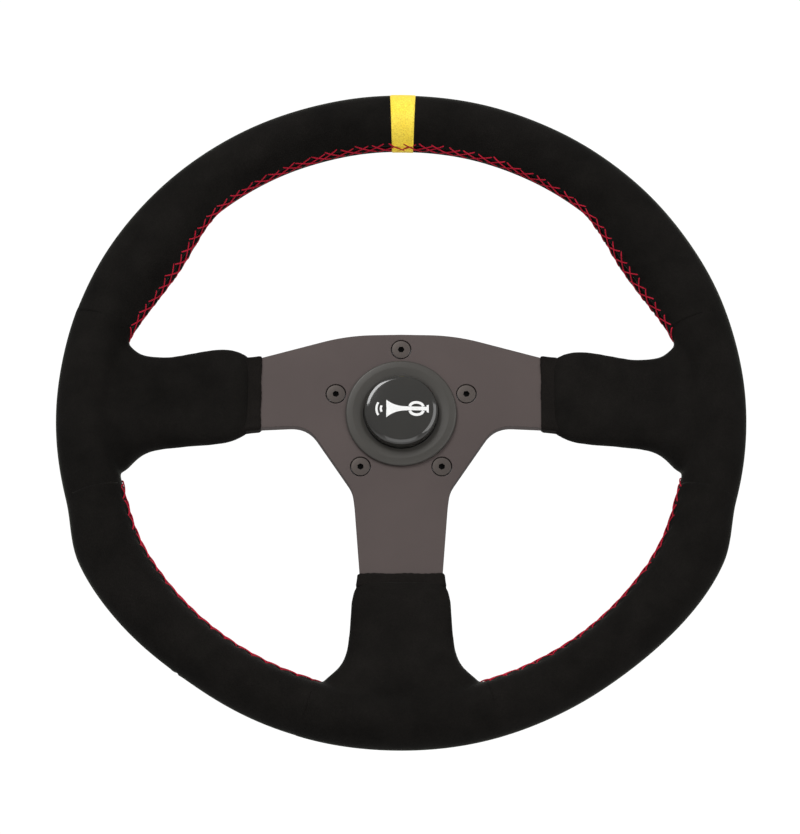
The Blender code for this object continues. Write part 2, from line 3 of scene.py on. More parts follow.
import bmesh
import bpy
import numpy as np
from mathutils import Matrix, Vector

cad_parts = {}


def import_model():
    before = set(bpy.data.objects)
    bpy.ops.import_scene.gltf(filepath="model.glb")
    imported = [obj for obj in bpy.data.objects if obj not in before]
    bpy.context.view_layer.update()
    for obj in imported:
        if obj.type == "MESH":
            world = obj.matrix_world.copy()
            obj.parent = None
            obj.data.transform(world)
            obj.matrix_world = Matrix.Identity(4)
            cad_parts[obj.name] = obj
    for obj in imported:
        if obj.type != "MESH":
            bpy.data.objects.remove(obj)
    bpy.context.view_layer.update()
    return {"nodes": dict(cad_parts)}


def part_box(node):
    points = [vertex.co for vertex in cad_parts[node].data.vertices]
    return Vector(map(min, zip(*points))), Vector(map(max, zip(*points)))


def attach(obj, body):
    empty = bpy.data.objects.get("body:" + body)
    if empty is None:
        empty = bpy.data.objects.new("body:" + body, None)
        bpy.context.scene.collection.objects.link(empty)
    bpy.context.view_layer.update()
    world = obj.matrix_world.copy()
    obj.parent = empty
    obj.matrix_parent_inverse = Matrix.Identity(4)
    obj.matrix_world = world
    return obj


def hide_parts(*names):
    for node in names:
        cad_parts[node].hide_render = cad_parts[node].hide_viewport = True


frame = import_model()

MM = 0.001
rng = np.random.default_rng(7)

# The wheel's own frame: x right, y up, n towards the driver, in millimetres.
PLATE_FRONT = -5.0
PLATE_T = 5.0
MID_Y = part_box("spoke_frame")[0].y / MM + PLATE_FRONT
BACK = PLATE_FRONT - PLATE_T
RIM_R, TUBE_R = 160.0, 14.8
SEAM_AT = 171.0
STITCH_PITCH, STITCH_HALF = 8.0, 3.6
SEAM_R = 145             # distance of the seam from the wheel's centre
SIDE_FROM, SIDE_TO, FOOT_FROM = 72.0, 107.0, 163.0
RUN_UNDER = 0.8          # degrees that a rim cover runs under its neighbour
STRIPE_DEG = math.degrees(6.8 / (RIM_R + TUBE_R))
STRIPE_AT = 0.3

# Changes of the rim's section, at angles from the top.
LOWER_FROM, LOWER_RUN = 103, 18
LOWER_SLIM, LOWER_DRIFT = 0.7, 1.8
THUMB_FROM, THUMB_PEAK, THUMB_UP, THUMB_DOWN, THUMB_RISE = 40, 57.5, 35, 41, 7.5
PALM_FROM, PALM_PEAK, PALM_TO, PALM_RISE = 106, 117, 146, 4.0
SWELL_POWER = 1.2


def world(points):
    """World positions, in metres, of local points in millimetres."""
    p = np.asarray(points, float)
    return np.stack([p[..., 0] * MM, (MID_Y - p[..., 2]) * MM, p[..., 1] * MM], -1)


# ---------------------------------------------------------------- mesh helpers
def make(name, points, faces, mat, body="wheel", smooth=True, replaces=(), slot=None, raw=False):
    mesh = bpy.data.meshes.new(name)
    pts = np.asarray(points, float)
    mesh.from_pydata((pts if raw else world(pts)).tolist(), [], faces)
    bm = bmesh.new()
    bm.from_mesh(mesh)
    bmesh.ops.remove_doubles(bm, verts=bm.verts, dist=2e-6)
    bmesh.ops.recalc_face_normals(bm, faces=bm.faces)
    bm.to_mesh(mesh)
    bm.free()
    if smooth:
        mesh.shade_smooth()
    obj = bpy.data.objects.new(name, mesh)
    bpy.context.scene.collection.objects.link(obj)
    if mat:
        mesh.materials.append(mat)
    if body:
        declare(obj, body, replaces)
    return obj


def declare(obj, body, replaces=()):
    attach(obj, body)
    if replaces:
        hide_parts(*replaces)


def grid_faces(rows, cols, closed_rows=False, closed_cols=True, caps=True):
    faces = []
    for i in range(rows if closed_rows else rows - 1):
        a, b = i * cols, ((i + 1) % rows) * cols
        for j in range(cols if closed_cols else cols - 1):
            k = (j + 1) % cols
            faces.append((a + j, a + k, b + k, b + j))
    if caps and not closed_rows:
        faces.append(tuple(range(cols - 1, -1, -1)))
        faces.append(tuple(range((rows - 1) * cols, rows * cols)))
    return faces


def grid(name, points, mat, closed_rows=False, **kw):
    pts = np.asarray(points, float)
    faces = grid_faces(pts.shape[0], pts.shape[1], closed_rows)
    return make(name, pts.reshape(-1, 3), faces, mat, **kw)


def smooth_by_angle(obj, degrees=32):
    with bpy.context.temp_override(object=obj, active_object=obj, selected_objects=[obj],
                                   selected_editable_objects=[obj]):
        bpy.ops.object.shade_smooth_by_angle(angle=math.radians(degrees))


def rounded(profile, radius=0.3, steps=3):
    """Closed profile with each corner cut by a short arc."""
    out = []
    n = len(profile)
    for i in range(n):
        p, a, b = (np.array(profile[k % n], float) for k in (i, i - 1, i + 1))
        if p[0] <= 1e-6:
            out.append(tuple(p))
            continue
        la, lb = np.linalg.norm(a - p), np.linalg.norm(b - p)
        r = min(radius, la * 0.4, lb * 0.4)
        s, e = p + (a - p) / la * r, p + (b - p) / lb * r
        for k in range(steps + 1):
            t = k / steps
            out.append(tuple((1 - t) ** 2 * s + 2 * t * (1 - t) * p + t * t * e))
    return out


def lathe(name, profile, mat, steps=128, centre=(0, 0), soften=0.3, **kw):
    prof = np.array(rounded(profile, soften) if soften else profile, float)
    ang = np.linspace(0, 2 * math.pi, steps, endpoint=False)
    pts = np.stack([centre[0] + np.outer(np.cos(ang), prof[:, 0]),
                    centre[1] + np.outer(np.sin(ang), prof[:, 0]),
                    np.tile(prof[:, 1], (steps, 1))], -1)
    obj = grid(name, pts, mat, closed_rows=True, **kw)
    smooth_by_angle(obj)
    return obj


def sweep(paths, radius, sides=7):
    """(points, faces) of round threads along open polylines of local points."""
    all_pts, all_faces, base = [], [], 0
    for path in paths:
        p = np.asarray(path, float)
        tan = np.gradient(p, axis=0)
        tan /= np.linalg.norm(tan, axis=1)[:, None]
        ref = np.cross(tan, [0.3, 0.2, 1.0])
        ref /= np.linalg.norm(ref, axis=1)[:, None]
        other = np.cross(tan, ref)
        b = np.linspace(0, 2 * math.pi, sides, endpoint=False)
        ring = p[:, None] + radius * (ref[:, None] * np.cos(b)[None, :, None]
                                      + other[:, None] * np.sin(b)[None, :, None])
        all_pts.append(ring.reshape(-1, 3))
        all_faces += [tuple(base + i for i in f) for f in grid_faces(len(p), sides)]
        base += len(p) * sides
    return np.concatenate(all_pts), all_faces


# ---------------------------------------------------------------- materials
def shader(name, colour, rough, metal=0.0, spec=0.5, sheen=None, coat=None):
    mat = bpy.data.materials.new(name)
    mat.use_nodes = True
    nt = mat.node_tree
    bsdf = nt.nodes["Principled BSDF"]
    bsdf.inputs["Base Color"].default_value = (*colour, 1)
    bsdf.inputs["Roughness"].default_value = rough
    bsdf.inputs["Metallic"].default_value = metal
    bsdf.inputs["Specular IOR Level"].default_value = spec
    if sheen:
        bsdf.inputs["Sheen Weight"].default_value = sheen[0]
        bsdf.inputs["Sheen Roughness"].default_value = sheen[1]
        bsdf.inputs["Sheen Tint"].default_value = (*sheen[2], 1)
    if coat:
        bsdf.inputs["Coat Weight"].default_value = coat[0]
        bsdf.inputs["Coat Roughness"].default_value = coat[1]
    coords = nt.nodes.new("ShaderNodeTexCoord")
    return mat, nt, bsdf, coords


def noise(nt, coords, scale, detail=4, rough=0.6, stretch=None):
    tex = nt.nodes.new("ShaderNodeTexNoise")
    tex.inputs["Scale"].default_value = scale
    tex.inputs["Detail"].default_value = detail
    tex.inputs["Roughness"].default_value = rough
    source = coords.outputs["Object"]
    if stretch:
        mapping = nt.nodes.new("ShaderNodeMapping")
        mapping.inputs["Scale"].default_value = stretch
        nt.links.new(source, mapping.inputs["Vector"])
        source = mapping.outputs["Vector"]
    nt.links.new(source, tex.inputs["Vector"])
    return tex.outputs["Fac"]


def ramp(nt, fac, stops):
    node = nt.nodes.new("ShaderNodeValToRGB")
    node.color_ramp.elements[0].position, node.color_ramp.elements[1].position = stops[0][0], stops[-1][0]
    node.color_ramp.elements[0].color = (*stops[0][1], 1)
    node.color_ramp.elements[1].color = (*stops[-1][1], 1)
    for pos, col in stops[1:-1]:
        node.color_ramp.elements.new(pos).color = (*col, 1)
    nt.links.new(fac, node.inputs["Fac"])
    return node.outputs["Color"]


def mix(nt, fac, a, b, blend="MIX"):
    node = nt.nodes.new("ShaderNodeMix")
    node.data_type, node.blend_type = "RGBA", blend
    for socket, value in ((node.inputs["Factor"], fac), (node.inputs["A"], a), (node.inputs["B"], b)):
        if isinstance(value, bpy.types.NodeSocket):
            nt.links.new(value, socket)
        else:
            socket.default_value = value
    return node.outputs["Result"]


def bump(nt, bsdf, height, strength, distance):
    previous = bsdf.inputs["Normal"].links
    node = nt.nodes.new("ShaderNodeBump")
    node.inputs["Strength"].default_value = strength
    node.inputs["Distance"].default_value = distance
    nt.links.new(height, node.inputs["Height"])
    if previous:
        nt.links.new(previous[0].from_socket, node.inputs["Normal"])
    nt.links.new(node.outputs["Normal"], bsdf.inputs["Normal"])


def suede(name, dark, light, sheen):
    mat, nt, bsdf, co = shader(name, light, 0.95, spec=0.12, sheen=sheen)
    nap = noise(nt, co, 55, 5, 0.62)
    patches = noise(nt, co, 14, 3, 0.5, (1, 2.2, 1))
    grain = noise(nt, co, 1500, 3, 0.7)
    colour = ramp(nt, nap, [(0.32, dark), (0.72, light)])
    colour = mix(nt, 0.35, colour, ramp(nt, patches, [(0.35, dark), (0.7, light)]))
    grain_tone = ramp(nt, grain, [(0.3, (0.72,) * 3), (0.7, (1.25,) * 3)])
    nt.links.new(mix(nt, 1.0, colour, grain_tone, "MULTIPLY"), bsdf.inputs["Base Color"])
    bump(nt, bsdf, grain, 0.5, 0.0003)
    bump(nt, bsdf, nap, 0.25, 0.0006)
    return mat


def anodised(name, dark, light, rough=0.45, metal=0.6, spec=0.4, brushed=None):
    mat, nt, bsdf, co = shader(name, light, rough, metal, spec)
    cloud = noise(nt, co, 18, 3, 0.5)
    fine = noise(nt, co, 1400, 2, 0.6, brushed)
    nt.links.new(ramp(nt, cloud, [(0.3, dark), (0.7, light)]), bsdf.inputs["Base Color"])
    rough_map = nt.nodes.new("ShaderNodeMapRange")
    rough_map.inputs["To Min"].default_value = rough - 0.07
    rough_map.inputs["To Max"].default_value = rough + 0.08
    nt.links.new(fine, rough_map.inputs["Value"])
    nt.links.new(rough_map.outputs["Result"], bsdf.inputs["Roughness"])
    bump(nt, bsdf, fine, 0.12, 0.0001)
    return mat


BLACK_SUEDE = suede("black_suede", (0.0030, 0.0025, 0.0020), (0.0088, 0.0076, 0.0066),
                    (0.30, 0.22, (0.62, 0.66, 0.55)))
CUFF_SUEDE = suede("cuff_suede", (0.0042, 0.0034, 0.0028), (0.0105, 0.0088, 0.0078),
                   (0.2, 0.3, (0.55, 0.5, 0.45)))
YELLOW = suede("yellow_suede", (1.0, 0.70, 0.05), (1.0, 0.82, 0.12), (0.2, 0.4, (1.0, 0.97, 0.8)))
THREAD = suede("crimson_thread", (0.32, 0.006, 0.020), (0.62, 0.018, 0.050), (0.15, 0.4, (1.0, 0.5, 0.55)))
PLATE = anodised("plate_anodised", (0.072, 0.056, 0.053), (0.086, 0.067, 0.063), 0.5, 0.35, 0.35)
BEZEL = anodised("bezel_satin", (0.050, 0.047, 0.042), (0.062, 0.058, 0.052), 0.4, 0.15, 0.35)
SCREW = anodised("screw_black_oxide", (0.070, 0.058, 0.052), (0.105, 0.088, 0.080), 0.42, 0.6, 0.5)
# Near-black colour painted into the screws' hex sockets as shade.
SOCKET_SHADE = anodised("socket_shadow", (0.004, 0.004, 0.004), (0.008, 0.008, 0.008), 0.7, 0.2, 0.2)
HUB = anodised("hub_machined", (0.40, 0.40, 0.41), (0.50, 0.50, 0.52), 0.32, 1.0, 0.5, (1, 30, 1))
COLLAR = anodised("collar_red", (0.30, 0.012, 0.015), (0.40, 0.02, 0.02), 0.3, 0.9, 0.5, (1, 30, 1))
STEEL = anodised("ground_steel", (0.45, 0.45, 0.46), (0.60, 0.60, 0.61), 0.25, 1.0, 0.5)
BLACK_STEEL = anodised("boss_black_oxide", (0.02, 0.02, 0.021), (0.04, 0.04, 0.042), 0.4, 0.8, 0.5,
                       (1, 30, 1))
BRASS = anodised("contact_brass", (0.55, 0.36, 0.10), (0.70, 0.48, 0.18), 0.3, 1.0, 0.5)
FOAM = anodised("moulded_foam", (0.012, 0.012, 0.012), (0.02, 0.02, 0.02), 0.9, 0.0, 0.2)
PLASTIC = anodised("horn_base_plastic", (0.012, 0.012, 0.012), (0.018, 0.018, 0.018), 0.55, 0.0, 0.4)


def cap_material():
    mat, nt, bsdf, co = shader("cap_gloss", (0.022, 0.021, 0.019), 0.13, 0.0, 0.5, coat=(0.6, 0.04))
    cloud = noise(nt, co, 60, 2, 0.5)
    nt.links.new(ramp(nt, cloud, [(0.3, (0.021, 0.020, 0.018)), (0.7, (0.024, 0.023, 0.020))]),
                 bsdf.inputs["Base Color"])
    return mat


def print_material():
    mat, nt, bsdf, co = shader("printed_white", (0.85, 0.85, 0.84), 0.4, 0.0, 0.4)
    fine = noise(nt, co, 1200, 2, 0.6)
    nt.links.new(ramp(nt, fine, [(0.3, (0.78, 0.78, 0.77)), (0.7, (0.88, 0.88, 0.87))]),
                 bsdf.inputs["Base Color"])
    return mat


CAP, PRINT = cap_material(), print_material()


# ---------------------------------------------------------------- rim shape
def lower(phi):
    """0 on the upper rim, 1 on the lower, with a smooth change beside the spokes."""
    p = np.abs((np.asarray(phi, float) + 180) % 360 - 180)
    return 0.5 * (1 - np.cos(np.pi * np.clip((p - LOWER_FROM) / LOWER_RUN, 0, 1)))


def swelling(phi):
    """(thumb, palm) swelling of the rim, in millimetres, at an angle from the top."""
    p = np.abs((np.asarray(phi, float) + 180) % 360 - 180)
    run = np.where(p < THUMB_PEAK, (p - THUMB_FROM) / THUMB_UP, (p - THUMB_PEAK) / THUMB_DOWN + 0.5)
    thumb = THUMB_RISE * np.sin(np.pi * np.clip(run, 0, 1)) ** 1.5
    up = 0.5 * (1 - np.cos(np.pi * np.clip((p - PALM_FROM) / (PALM_PEAK - PALM_FROM), 0, 1)))
    down = 0.5 * (1 + np.cos(np.pi * np.clip((p - PALM_PEAK) / (PALM_TO - PALM_PEAK), 0, 1)))
    return thumb, PALM_RISE * np.minimum(up, down)


def section_radius(a, phi):
    thumb, palm = swelling(phi)
    c = np.cos(np.radians(a))
    plain = TUBE_R - LOWER_SLIM * lower(phi)
    return plain + palm * np.maximum(0, c) ** SWELL_POWER + thumb * np.maximum(0, -c) ** SWELL_POWER


def centre_r(phi):
    return RIM_R + LOWER_DRIFT * lower(phi)


def tube_points(phi, a, lift=0.0):
    """Points on the rim's surface at rim angle phi and section angle a, raised by lift."""
    r = section_radius(a, phi) + lift
    out, n = r * np.cos(np.radians(a)), r * np.sin(np.radians(a))
    big, p = centre_r(phi) + out, np.radians(phi)
    return np.stack([big * np.sin(p), big * np.cos(p), n + 0 * p], -1)


def stitched(phi):
    """1 where the seam is sewn, fading to 0 near the spokes."""
    p = np.abs((np.asarray(phi, float) + 180) % 360 - 180)
    top = np.clip((SIDE_FROM + 1.5 - p) / 2, 0, 1)
    low = np.clip((p - SIDE_TO + 1.5) / 2, 0, 1) * np.clip((FOOT_FROM - p + 1) / 2, 0, 1)
    return np.maximum(top, low)


def seam_lift(phi, a):
    """Height of the suede near the seam: drawn-in lips, a groove, and a dimple at each stitch hole."""
    across = np.radians(a - SEAM_AT) * TUBE_R
    along = np.radians(phi) * SEAM_R
    groove = -1.5 * np.exp(-(across / 0.75) ** 2)
    lips = 0.40 * np.exp(-((np.abs(across) - 1.9) / 1.0) ** 2)
    pucker = np.where(across > 0, np.cos(2 * np.pi * along / STITCH_PITCH),
                      -np.cos(2 * np.pi * along / STITCH_PITCH))
    dimple = -0.35 * pucker * np.exp(-((np.abs(across) - STITCH_HALF) / 1.5) ** 2)
    return (groove + lips + dimple) * stitched(phi)


def wander(phi, a, seed):
    """Slow unevenness of hand-stretched suede."""
    r = np.random.default_rng(seed)
    out = 0 * (phi + a)
    for _ in range(7):
        k, m = r.uniform(0.03, 0.35), r.integers(0, 4)
        out = out + np.cos(k * phi + r.uniform(0, 6.3)) * np.cos(m * np.radians(a) + r.uniform(0, 6.3))
    return 0.045 * out


def section_angles(count=84):
    """Section angles, closer together near the seam."""
    t = np.linspace(-1, 1, count, endpoint=False)
    return SEAM_AT + 180 * np.sign(t) * (0.30 * np.abs(t) + 0.70 * np.abs(t) ** 2.2)


def rim_cover(name, start, end, mat, extra=0.0, step=0.45, **kw):
    phi = np.linspace(start, end, max(4, int(abs(end - start) / step)))[:, None]
    a = section_angles()[None, :]
    lift = seam_lift(phi, a) + wander(phi, a, 3) + extra
    if name == "suede_rim_lower_left":      # the suede's own cross join
        join = np.radians(np.abs(phi + 141)) * 160
        lift = lift - 0.55 * np.exp(-(join / 0.6) ** 2) + 0.22 * np.exp(-((join - 1.6) / 1.0) ** 2)
    if extra:                               # both ends of a raised band lie down
        lift[[0, -1]] = lift[[0, -1]] - extra
    return grid(name, tube_points(phi + 0 * a, a + 0 * phi, lift), mat, **kw)


for side, word in ((1, "right"), (-1, "left")):
    lo, hi = sorted((0.0, side * (SIDE_FROM + RUN_UNDER)))
    rim_cover(f"suede_rim_top_{word}", lo, hi, BLACK_SUEDE, replaces=[f"cover_top_{word}"], slot="suede")
    lo, hi = sorted((side * (SIDE_TO - RUN_UNDER), side * (FOOT_FROM + RUN_UNDER)))
    rim_cover(f"suede_rim_lower_{word}", lo, hi, BLACK_SUEDE, replaces=[f"cover_lower_{word}"],
              slot="suede")
rim_cover("yellow_centre_band", STRIPE_AT - STRIPE_DEG, STRIPE_AT + STRIPE_DEG, YELLOW, extra=0.32, step=0.2,
          replaces=["centre_stripe"], slot="yellow_suede")

# ---------------------------------------------------------------- spoke grips
LOFT_END, LEVEL_TO = 156.0, 118.0
# Sleeve rows: distance from the wheel centre, lower edge, upper edge, half thickness.
SIDE_SLEEVE = (
    (77.4, -9.6, 30.2, 3.9), (78.2, -10.3, 31.0, 4.6), (80, -11.3, 32.2, 5.3), (84, -13.3, 34.0, 6.2),
    (89, -15.0, 35.0, 6.9), (97, -15.9, 34.6, 7.2), (105, -16.5, 33.0, 7.4), (118, -17.6, 30.3, 8.2),
    (126, -19.2, 29.8, 9.2), (131, -21.4, 30.0, 10.2), (135, -25.2, 31.2, 10.6),
    (139, -31.0, 36.0, 10.8), (LOFT_END, -37.0, 41.0, 11.5),
)
FOOT_SLEEVE = (
    (89.0, -21.0, 21.0, 3.9), (89.6, -21.8, 21.8, 4.6), (91.2, -22.8, 22.8, 5.4), (94, -24.0, 24.0, 6.3),
    (98, -24.8, 24.8, 6.9), (117, -26.0, 26.0, 7.6), (125, -27.0, 27.0, 8.8), (131, -29.0, 29.0, 10.2),
    (135, -31.8, 31.8, 10.6), (138.5, -36.0, 36.0, 10.8), (142, -39.5, 39.5, 11.0),
    (LOFT_END, -41.0, 41.0, 11.5),
)


def to_right(at, across):
    return at, across


def to_left(at, across):
    return -at, across


def to_foot(at, across):
    return across, -at


def sleeve_grid(table, turn, high_shift=0.0, count=56):
    rows = np.array(table, float)
    start, shoulder, end = rows[0, 0], rows[3, 0], rows[-1, 0]
    at = np.r_[np.linspace(start, shoulder, 12, endpoint=False), np.linspace(shoulder, end, 52)]
    low, high, half = (np.interp(at, rows[:, 0], rows[:, k]) for k in (1, 2, 3))
    high = high + high_shift
    for _ in range(3):
        for v in (low, high, half):
            v[8:-1] = 0.25 * v[7:-2] + 0.5 * v[8:-1] + 0.25 * v[9:]
    run = np.clip((at - LEVEL_TO) / (LOFT_END - LEVEL_TO), 0, 1)
    level = (PLATE_FRONT - PLATE_T / 2) * (1 - 0.87 * run)
    ang = np.linspace(0, 2 * math.pi, count, endpoint=False)
    c, s = np.cos(ang), np.sin(ang)
    across = ((high + low) / 2)[:, None] + ((high - low) / 2)[:, None] * np.sign(c) * np.abs(c) ** 0.6
    n = level[:, None] + half[:, None] * np.sign(s) * np.abs(s) ** 0.7
    x, y = turn(at[:, None] + 0 * across, across)
    return np.stack([x, y, n], -1)


def applied(obj, *modifiers):
    """New mesh data of obj with modifiers set from (type, settings)."""
    for kind, settings in modifiers:
        mod = obj.modifiers.new(kind, kind)
        for key, value in settings.items():
            setattr(mod, key, value)
    graph = bpy.context.evaluated_depsgraph_get()
    mesh = bpy.data.meshes.new_from_object(obj.evaluated_get(graph))
    obj.modifiers.clear()
    obj.data = mesh
    return obj


def coords_of(mesh):
    co = np.empty(len(mesh.vertices) * 3)
    mesh.vertices.foreach_get("co", co)
    return co.reshape(-1, 3)


def grip(name, table, turn, centre, half_turn, node, high_shift=0.0):
    """Suede grip over a spoke: rim stretch and sleeve fused, relaxed, then drawn back onto the rim."""
    reach = half_turn + 1.6
    phi = np.linspace(centre - reach, centre + reach, 70)[:, None]
    a = np.linspace(0, 360, 60, endpoint=False)[None, :]
    tube = tube_points(phi + 0 * a, a + 0 * phi)
    loft = sleeve_grid(table, turn, high_shift)
    p1, p2 = tube.reshape(-1, 3), loft.reshape(-1, 3)
    f1 = grid_faces(*tube.shape[:2])
    f2 = [tuple(i + len(p1) for i in f) for f in grid_faces(*loft.shape[:2])]
    solid = make(name, np.concatenate([p1, p2]), f1 + f2, BLACK_SUEDE, body=None)
    applied(solid, ("REMESH", {"mode": "VOXEL", "voxel_size": 0.0013}),
            ("SMOOTH", {"factor": 0.5, "iterations": 18}))
    co = coords_of(solid.data)
    x, y, n = co[:, 0] / MM, co[:, 2] / MM, MID_Y - co[:, 1] / MM
    big = np.hypot(x, y)
    ph = np.degrees(np.arctan2(x, y)) % 360
    ph = np.where(ph > centre % 360 + 180, ph - 360, ph)
    off = np.abs((ph - centre % 360 + 180) % 360 - 180)
    ring_r = centre_r(ph)
    ang = np.degrees(np.arctan2(n, big - ring_r)) % 360
    here = np.hypot(big - ring_r, n)
    target = section_radius(ang, ph)
    # Points well clear of the sleeve go back to the rim's true surface, and dive under its covers at the ends.
    clear = np.clip((np.abs(ang - 180) - 62) / 28, 0, 1)
    clear = np.maximum(clear, np.clip((off - half_turn + 1.6) / 1.4, 0, 1))
    dive = -0.5 * np.clip((off - half_turn + 0.1) / 1.0, 0, 1)
    near = np.abs(here - target) < 4.5
    new = here + clear * near * (target + dive + wander(ph, ang, 3) - here)
    scale = new / np.maximum(here, 1e-6)
    nb, nn = ring_r + (big - ring_r) * scale, n * scale
    x, y, n = x * nb / big, y * nb / big, nn
    out = world(np.stack([x, y, n], -1))
    solid.data.vertices.foreach_set("co", out.reshape(-1).astype(np.float32))
    solid.data.materials.clear()
    solid.data.materials.append(BLACK_SUEDE)
    solid.data.shade_smooth()
    declare(solid, "wheel", [node])
    return solid


SIDE_MID, SIDE_HALF = (SIDE_FROM + SIDE_TO) / 2, (SIDE_TO - SIDE_FROM) / 2
grip("suede_grip_right", SIDE_SLEEVE, to_right, SIDE_MID, SIDE_HALF, "grip_cover_right", -0.6)
grip("suede_grip_left", SIDE_SLEEVE, to_left, 360 - SIDE_MID, SIDE_HALF, "grip_cover_left", 0.8)
grip("suede_grip_bottom", FOOT_SLEEVE, to_foot, 180, 180 - FOOT_FROM, "grip_cover_bottom")


def cuff(name, node, start, end, edges, turn):
    """Flat suede band with a slightly uneven cut edge."""
    mid = PLATE_FRONT - PLATE_T / 2
    grow, chamfer, ring_count = 1.2, 1.0, 96
    rows = []
    at_all = np.linspace(start, end, 14)
    for i, at in enumerate(at_all):
        low, high = edges(at)
        flare = 1.3 * max(0.0, (at - start) / (end - start)) ** 1.5
        y0, y1, h = low - grow - flare, high + grow + flare, PLATE_T / 2 + grow
        edge = 0.55 if i in (0, len(at_all) - 1) else (0.15 if i in (1, len(at_all) - 2) else 0.0)
        corners = [(y0 + chamfer, -h), (y1 - chamfer, -h), (y1, -h + chamfer), (y1, h - chamfer),
                   (y1 - chamfer, h), (y0 + chamfer, h), (y0, h - chamfer), (y0, -h + chamfer)]
        pts = np.array(corners + [corners[0]], float)
        seg = np.r_[0, np.cumsum(np.linalg.norm(np.diff(pts, axis=0), axis=1))]
        u = np.linspace(0, seg[-1], ring_count, endpoint=False)
        yy, nn = np.interp(u, seg, pts[:, 0]), np.interp(u, seg, pts[:, 1])
        yc = (y0 + y1) / 2
        yy = yc + (yy - yc) * (1 - edge / (y1 - y0) * 2)
        nn = nn * (1 - edge / h)
        fray = 0 * u
        if i == 0:
            fray = 0.16 * np.cos(u * 0.37) + 0.10 * np.cos(u * 1.7 + 1) + 0.05 * np.cos(u * 4.1)
        x, y = turn(at - fray, yy)
        rows.append(np.stack([x + 0 * yy, y + 0 * yy, mid + nn], -1))
    return grid(name, np.array(rows), CUFF_SUEDE, replaces=[node], slot="suede")


def side_edges(at):
    return -7.5 + 0.03 * (at - 71), 30.6 - 0.26 * (at - 71)


def foot_edges(at):
    half = 22.2 - 0.0753 * (at - 65.6)
    return -half, half


cuff("suede_cuff_right", "cuff_right", 71.3, 80.5, side_edges, to_right)
cuff("suede_cuff_left", "cuff_left", 71.3, 80.5, side_edges, to_left)
cuff("suede_cuff_bottom", "cuff_bottom", 84.8, 91.5, foot_edges, to_foot)


# ---------------------------------------------------------------- cross stitches
def stitches(name, start, end, node):
    """Crossed threads, each from a hole above the seam to one a pitch and a half along below it."""
    deg = math.degrees(STITCH_PITCH / SEAM_R)
    count = int(round((end - start) / deg))
    span = (end - start) / count
    paths = []
    for k in range(count + 1):
        top = start + k * span
        for lean in (1.5, -1.5):
            low = top + lean * span
            if not start - 0.6 * span <= low <= end + 0.6 * span:
                low = top + lean * span * 0.5
            j = rng.normal(0, 1, 4)
            t = np.linspace(0, 1, 13)
            phi = top + (low - top) * t + 0.10 * span * (j[0] * (1 - t) + j[1] * t)
            half = STITCH_HALF + 0.35 * j[2]
            across = half - (half + STITCH_HALF + 0.35 * j[3]) * t
            a = SEAM_AT - np.degrees(across / TUBE_R)
            arch = np.minimum(1, np.minimum(t, 1 - t) / 0.13)
            lift = -0.5 + 0.85 * np.sin(arch * np.pi / 2) + (0.32 if lean > 0 else 0.0) * np.sin(np.pi * t)
            paths.append(tube_points(phi, a, lift))
    pts, faces = sweep(paths, 0.36)
    return make(name, pts, faces, THREAD, replaces=[node], slot="thread")


stitches("cross_stitch_top", -SIDE_FROM - 0.5, SIDE_FROM + 0.5, "lacing_top")
stitches("cross_stitch_right", SIDE_TO, FOOT_FROM, "lacing_right")
stitches("cross_stitch_left", -FOOT_FROM, -SIDE_TO, "lacing_left")

# ---------------------------------------------------------------- spoke plate
SCREW_CIRCLE_R = 35
SCREW_TURNS = [math.radians(72 * i) for i in range(5)]
SCREW_SPOTS = [(SCREW_CIRCLE_R * math.sin(a), SCREW_CIRCLE_R * math.cos(a)) for a in SCREW_TURNS]
CENTRE_HOLE_R, SCREW_HOLE_R = 25, 5.2


def arc_corners(points, radii, steps=10):
    """Outline with each corner that has a radius cut by a curve."""
    out = []
    n = len(points)
    for i in range(n):
        p, a, b = (np.array(points[k % n], float) for k in (i, i - 1, i + 1))
        r = radii[i]
        if r <= 0:
            out.append(tuple(p))
            continue
        la, lb = np.linalg.norm(a - p), np.linalg.norm(b - p)
        cut = min(r, 0.48 * la, 0.48 * lb)
        s, e = p + (a - p) / la * cut, p + (b - p) / lb * cut
        for k in range(steps + 1):
            t = k / steps
            out.append(tuple((1 - t) ** 2 * s + 2 * t * (1 - t) * p + t * t * e))
    return out


def plate_outline():
    """Both halves of the spider's edge, as corners with the size of their rounding."""
    half = [((0, 43.2), 0), ((27.5, 42.7), 26), ((72, 30.3), 14), ((84, 27.3), 0), ((100, 19), 0),
            ((156, 19), 0), ((156, -5), 0), ((100, -5.5), 0), ((84, -7.1), 0), ((71, -7.5), 0),
            ((47.6, -6.4), 9), ((24.7, -40.8), 7), ((23.6, -48), 5), ((foot_edges(88)[1], -88), 0),
            ((15, -102), 0), ((15, -156), 0)]
    full = half + [((-x, y), r) for (x, y), r in reversed(half[1:])]
    return arc_corners([p for p, _ in full], [r for _, r in full])


